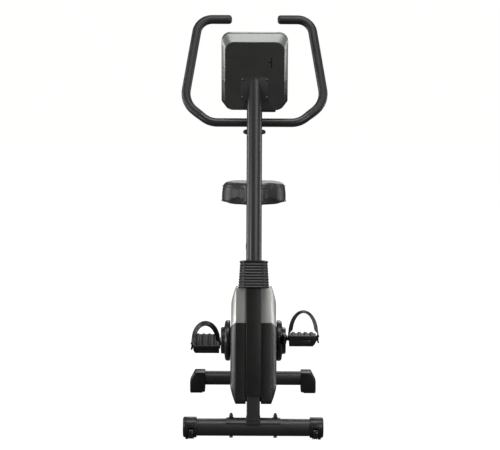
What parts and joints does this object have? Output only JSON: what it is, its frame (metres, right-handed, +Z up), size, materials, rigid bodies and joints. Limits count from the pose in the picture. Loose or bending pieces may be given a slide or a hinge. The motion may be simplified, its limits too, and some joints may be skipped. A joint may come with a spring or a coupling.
{
  "type": "exercise bike",
  "caption": "Upright magnetic exercise bike with closed shroud, leaning mast, console, looped handlebar, padded saddle and strapped pedals.",
  "frame": {"origin": "centre of the bounding box footprint, on the floor", "axes": "+Z up, -Y the front of the bike where the mast leans from, +Y towards the rider, +X the rider's left"},
  "size_m": [0.517, 0.861, 1.4507],
  "materials": {
    "satin_dark_paint": "satin",
    "bar_paint": "satin",
    "black_plastic": "fine grain",
    "silver_grey_plastic": "semi-gloss",
    "black_rubber": "matt",
    "dark_grip": "soft matt",
    "black_vinyl": "soft semi-matt",
    "dark_zinc_steel": "satin",
    "black_crank": "satin",
    "cast_iron": "machined rim",
    "zinc_plate": "zinc plated",
    "wheel_plastic": "smooth",
    "display_window": "polished",
    "circuit_board": "solder mask",
    "button_rubber": "soft"
  },
  "bodies": {
    "frame": {"main_frame": "satin_dark_paint", "front_stabilizer": "satin_dark_paint", "rear_stabilizer": "satin_dark_paint", "mast": "satin_dark_paint", "shroud_lower_left": "black_plastic", "shroud_lower_right": "black_plastic", "post_cover": "black_plastic", "power_inlet": "black_plastic", "front_cap_left": "black_plastic", "front_cap_right": "black_plastic", "rear_foot_left": "black_plastic", "rear_foot_right": "black_plastic", "tension_servo": "black_plastic", "seat_post_sleeve": "black_plastic", "handlebar_clamp": "black_plastic", "console_back_cover": "black_plastic", "shroud_upper_left": "silver_grey_plastic", "shroud_upper_right": "silver_grey_plastic", "console_housing": "silver_grey_plastic", "bellows_collar": "black_rubber", "drive_belt": "black_rubber", "front_bolt_left": "dark_zinc_steel", "front_bolt_right": "dark_zinc_steel", "flywheel_axle": "dark_zinc_steel", "crank_bearing_left": "dark_zinc_steel", "crank_bearing_right": "dark_zinc_steel", "console_screw_upper_left": "dark_zinc_steel", "console_screw_upper_right": "dark_zinc_steel", "console_screw_lower_left": "dark_zinc_steel", "console_screw_lower_right": "dark_zinc_steel", "display_lens": "display_window", "console_board": "circuit_board"},
    "crankset": {"crank_axle": "dark_zinc_steel", "drive_pulley": "black_plastic", "crank_arm_left": "black_crank", "crank_arm_right": "black_crank", "crank_cover_left": "black_plastic", "crank_cover_right": "black_plastic", "pedal_spindle_left": "dark_zinc_steel", "pedal_spindle_right": "dark_zinc_steel"},
    "left_pedal": {"pedal_left": "black_plastic", "pedal_strap_left": "black_rubber"},
    "right_pedal": {"pedal_right": "black_plastic", "pedal_strap_right": "black_rubber"},
    "flywheel_wheel": {"flywheel": "cast_iron"},
    "brake": {"brake_magnet_bracket": "zinc_plate"},
    "seat": {"seat_post": "satin_dark_paint", "saddle_pan": "black_plastic", "saddle_pad": "black_vinyl"},
    "height_pin": {"seat_height_pin": "black_plastic"},
    "bars": {"handlebar": "bar_paint", "grip_left": "dark_grip", "grip_right": "dark_grip"},
    "knob": {"clamp_knob": "black_plastic"},
    "left_wheel": {"transport_wheel_left": "wheel_plastic"},
    "right_wheel": {"transport_wheel_right": "wheel_plastic"},
    "down_key": {"button_down": "button_rubber"},
    "enter_key": {"button_enter": "button_rubber"},
    "up_key": {"button_up": "button_rubber"}
  },
  "joints": [
    {"name": "crank_spin", "type": "hinge", "parent": "frame", "child": "crankset", "pos_m": [0, -0.01, 0.273], "axis": [1, 0, 0], "continuous": true},
    {"name": "flywheel_spin", "type": "hinge", "parent": "frame", "child": "flywheel_wheel", "pos_m": [0, -0.195, 0.27], "axis": [1, 0, 0], "continuous": true},
    {"name": "left_pedal_spin", "type": "hinge", "parent": "crankset", "child": "left_pedal", "pos_m": [0, -0.1753, 0.31269], "axis": [1, 0, 0], "continuous": true},
    {"name": "right_pedal_spin", "type": "hinge", "parent": "crankset", "child": "right_pedal", "pos_m": [0, 0.1553, 0.23331], "axis": [1, 0, 0], "continuous": true},
    {"name": "brake_swing", "type": "hinge", "parent": "frame", "child": "brake", "pos_m": [0, -0.2865, 0.36], "axis": [1, 0, 0], "range_deg": [0, 6], "stiffness_Nm_per_rad": 2, "springref_deg": -8.59},
    {"name": "seat_height", "type": "slide", "parent": "frame", "child": "seat", "axis": [0, 0.4067, 0.9135], "range_m": [0, 0.2]},
    {"name": "height_pin_pull", "type": "slide", "parent": "frame", "child": "height_pin", "axis": [0, 0.9135, -0.4067], "range_m": [0, 0.008], "stiffness_N_per_m": 900, "springref_m": -0.006},
    {"name": "bar_tilt", "type": "hinge", "parent": "frame", "child": "bars", "pos_m": [0, -0.128, 1.075], "axis": [1, 0, 0], "range_deg": [-20, 15]},
    {"name": "clamp_knob_turn", "type": "hinge", "parent": "frame", "child": "knob", "pos_m": [0, -0.092, 1.0395], "axis": [0, 1, 0], "range_deg": [0, 270]},
    {"name": "left_wheel_spin", "type": "hinge", "parent": "frame", "child": "left_wheel", "pos_m": [0.2145, -0.411, 0.0215], "axis": [1, 0, 0], "continuous": true},
    {"name": "right_wheel_spin", "type": "hinge", "parent": "frame", "child": "right_wheel", "pos_m": [-0.2145, -0.411, 0.0215], "axis": [1, 0, 0], "continuous": true},
    {"name": "down_press", "type": "slide", "parent": "frame", "child": "down_key", "axis": [0, -0.988, -0.1547], "range_m": [0, 0.0012], "stiffness_N_per_m": 900, "springref_m": -0.001},
    {"name": "enter_press", "type": "slide", "parent": "frame", "child": "enter_key", "axis": [0, -0.988, -0.1547], "range_m": [0, 0.0012], "stiffness_N_per_m": 900, "springref_m": -0.001},
    {"name": "up_press", "type": "slide", "parent": "frame", "child": "up_key", "axis": [0, -0.988, -0.1547], "range_m": [0, 0.0012], "stiffness_N_per_m": 900, "springref_m": -0.001}
  ],
  "couplings": [
    {"joint": "flywheel_spin", "follows": "crank_spin", "ratio": 5.1515}
  ]
}
